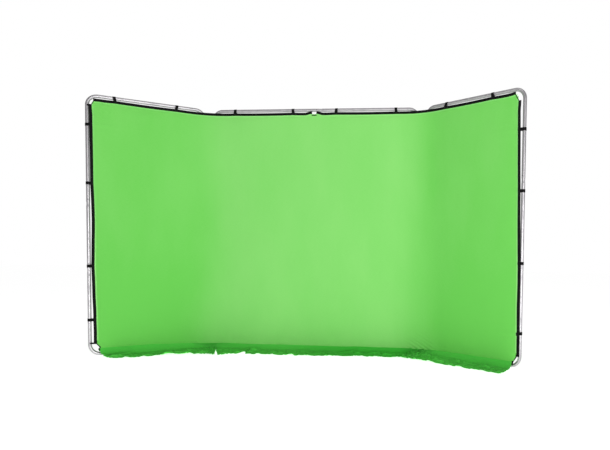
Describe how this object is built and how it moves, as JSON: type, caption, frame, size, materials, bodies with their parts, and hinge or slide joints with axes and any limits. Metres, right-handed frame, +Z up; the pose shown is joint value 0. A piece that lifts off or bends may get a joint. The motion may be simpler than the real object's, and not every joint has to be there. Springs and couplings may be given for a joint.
{
  "type": "collapsible backdrop panel",
  "caption": "Free-standing folding backdrop: hinged tube frames with rounded corners carry one green cover with black webbing edges, strap clips and a floor skirt.",
  "frame": {"origin": "on the floor, at the middle of the footprint at rest", "axes": "+Z up, the cover faces -Y, +X along the centre frame to the viewer's right"},
  "size_m": [3.7774, 0.8234, 2.3022],
  "materials": {
    "frame_tube": "satin anodised drawn tube",
    "button_steel": "dull plated steel",
    "hardware_steel": "zinc plated steel",
    "hinge_clamp": "moulded glass-filled nylon",
    "cover_cloth": "matt chroma green polyester knit",
    "black_webbing": "woven elastic webbing"
  },
  "bodies": {
    "centre_frame": {"centre_binding": "black_webbing", "centre_bottom_left_tube": "frame_tube", "centre_bottom_right_tube": "frame_tube", "centre_button_springs": "hardware_steel", "centre_clamp_screws": "hardware_steel", "centre_cover": "cover_cloth", "centre_left_middle_tube": "frame_tube", "centre_right_middle_tube": "frame_tube", "centre_skirt": "cover_cloth", "centre_strap_clips": "black_webbing", "centre_top_left_tube": "frame_tube", "centre_top_right_tube": "frame_tube", "left_hinge_pins": "hardware_steel", "left_lower_hinge_fork": "hinge_clamp", "left_upper_hinge_fork": "hinge_clamp", "right_hinge_pins": "hardware_steel", "right_lower_hinge_fork": "hinge_clamp", "right_upper_hinge_fork": "hinge_clamp"},
    "centre_bottom_rail_button": {"centre_bottom_rail_button": "button_steel"},
    "centre_left_lower_button": {"centre_left_lower_button": "button_steel"},
    "centre_left_upper_button": {"centre_left_upper_button": "button_steel"},
    "centre_right_lower_button": {"centre_right_lower_button": "button_steel"},
    "centre_right_upper_button": {"centre_right_upper_button": "button_steel"},
    "centre_top_rail_button": {"centre_top_rail_button": "button_steel"},
    "left_wing": {"left_lower_hinge_eye": "hinge_clamp", "left_upper_hinge_eye": "hinge_clamp", "left_wing_binding": "black_webbing", "left_wing_bottom_bow": "frame_tube", "left_wing_button_springs": "hardware_steel", "left_wing_clamp_screws": "hardware_steel", "left_wing_cover": "cover_cloth", "left_wing_inner_middle_tube": "frame_tube", "left_wing_outer_middle_tube": "frame_tube", "left_wing_skirt": "cover_cloth", "left_wing_strap_clips": "black_webbing", "left_wing_top_bow": "frame_tube"},
    "left_wing_inner_lower_button": {"left_wing_inner_lower_button": "button_steel"},
    "left_wing_inner_upper_button": {"left_wing_inner_upper_button": "button_steel"},
    "left_wing_outer_lower_button": {"left_wing_outer_lower_button": "button_steel"},
    "left_wing_outer_upper_button": {"left_wing_outer_upper_button": "button_steel"},
    "right_wing": {"right_lower_hinge_eye": "hinge_clamp", "right_upper_hinge_eye": "hinge_clamp", "right_wing_binding": "black_webbing", "right_wing_bottom_bow": "frame_tube", "right_wing_button_springs": "hardware_steel", "right_wing_clamp_screws": "hardware_steel", "right_wing_cover": "cover_cloth", "right_wing_inner_middle_tube": "frame_tube", "right_wing_outer_middle_tube": "frame_tube", "right_wing_skirt": "cover_cloth", "right_wing_strap_clips": "black_webbing", "right_wing_top_bow": "frame_tube"},
    "right_wing_inner_lower_button": {"right_wing_inner_lower_button": "button_steel"},
    "right_wing_inner_upper_button": {"right_wing_inner_upper_button": "button_steel"},
    "right_wing_outer_lower_button": {"right_wing_outer_lower_button": "button_steel"},
    "right_wing_outer_upper_button": {"right_wing_outer_upper_button": "button_steel"}
  },
  "joints": [
    {"name": "left_wing_hinge", "type": "hinge", "parent": "centre_frame", "child": "left_wing", "pos_m": [-1.03, 0.37369, 1.15], "axis": [0, 0, 1], "range_deg": [-34, 56]},
    {"name": "right_wing_hinge", "type": "hinge", "parent": "centre_frame", "child": "right_wing", "pos_m": [1.03, 0.37369, 1.15], "axis": [0, 0, -1], "range_deg": [-34, 56]},
    {"name": "centre_bottom_rail_button_press", "type": "slide", "parent": "centre_frame", "child": "centre_bottom_rail_button", "axis": [0, -1, 0], "range_m": [0, 0.005], "stiffness_N_per_m": 3000, "springref_m": -0.002, "deforming": ["centre_button_springs"]},
    {"name": "centre_left_lower_button_press", "type": "slide", "parent": "centre_frame", "child": "centre_left_lower_button", "axis": [0, -1, 0], "range_m": [0, 0.005], "stiffness_N_per_m": 3000, "springref_m": -0.002, "deforming": ["centre_button_springs"]},
    {"name": "centre_left_upper_button_press", "type": "slide", "parent": "centre_frame", "child": "centre_left_upper_button", "axis": [0, -1, 0], "range_m": [0, 0.005], "stiffness_N_per_m": 3000, "springref_m": -0.002, "deforming": ["centre_button_springs"]},
    {"name": "centre_right_lower_button_press", "type": "slide", "parent": "centre_frame", "child": "centre_right_lower_button", "axis": [0, -1, 0], "range_m": [0, 0.005], "stiffness_N_per_m": 3000, "springref_m": -0.002, "deforming": ["centre_button_springs"]},
    {"name": "centre_right_upper_button_press", "type": "slide", "parent": "centre_frame", "child": "centre_right_upper_button", "axis": [0, -1, 0], "range_m": [0, 0.005], "stiffness_N_per_m": 3000, "springref_m": -0.002, "deforming": ["centre_button_springs"]},
    {"name": "centre_top_rail_button_press", "type": "slide", "parent": "centre_frame", "child": "centre_top_rail_button", "axis": [0, 1, 0], "range_m": [0, 0.005], "stiffness_N_per_m": 3000, "springref_m": -0.002, "deforming": ["centre_button_springs"]},
    {"name": "left_wing_inner_lower_button_press", "type": "slide", "parent": "left_wing", "child": "left_wing_inner_lower_button", "axis": [0.5592, -0.829, 0], "range_m": [0, 0.005], "stiffness_N_per_m": 3000, "springref_m": -0.002, "deforming": ["left_wing_button_springs"]},
    {"name": "left_wing_inner_upper_button_press", "type": "slide", "parent": "left_wing", "child": "left_wing_inner_upper_button", "axis": [0.5592, -0.829, 0], "range_m": [0, 0.005], "stiffness_N_per_m": 3000, "springref_m": -0.002, "deforming": ["left_wing_button_springs"]},
    {"name": "left_wing_outer_lower_button_press", "type": "slide", "parent": "left_wing", "child": "left_wing_outer_lower_button", "axis": [-0.5592, 0.829, 0], "range_m": [0, 0.005], "stiffness_N_per_m": 3000, "springref_m": -0.002, "deforming": ["left_wing_button_springs"]},
    {"name": "left_wing_outer_upper_button_press", "type": "slide", "parent": "left_wing", "child": "left_wing_outer_upper_button", "axis": [-0.5592, 0.829, 0], "range_m": [0, 0.005], "stiffness_N_per_m": 3000, "springref_m": -0.002, "deforming": ["left_wing_button_springs"]},
    {"name": "right_wing_inner_lower_button_press", "type": "slide", "parent": "right_wing", "child": "right_wing_inner_lower_button", "axis": [-0.5592, -0.829, 0], "range_m": [0, 0.005], "stiffness_N_per_m": 3000, "springref_m": -0.002, "deforming": ["right_wing_button_springs"]},
    {"name": "right_wing_inner_upper_button_press", "type": "slide", "parent": "right_wing", "child": "right_wing_inner_upper_button", "axis": [-0.5592, -0.829, 0], "range_m": [0, 0.005], "stiffness_N_per_m": 3000, "springref_m": -0.002, "deforming": ["right_wing_button_springs"]},
    {"name": "right_wing_outer_lower_button_press", "type": "slide", "parent": "right_wing", "child": "right_wing_outer_lower_button", "axis": [0.5592, 0.829, 0], "range_m": [0, 0.005], "stiffness_N_per_m": 3000, "springref_m": -0.002, "deforming": ["right_wing_button_springs"]},
    {"name": "right_wing_outer_upper_button_press", "type": "slide", "parent": "right_wing", "child": "right_wing_outer_upper_button", "axis": [0.5592, 0.829, 0], "range_m": [0, 0.005], "stiffness_N_per_m": 3000, "springref_m": -0.002, "deforming": ["right_wing_button_springs"]}
  ]
}
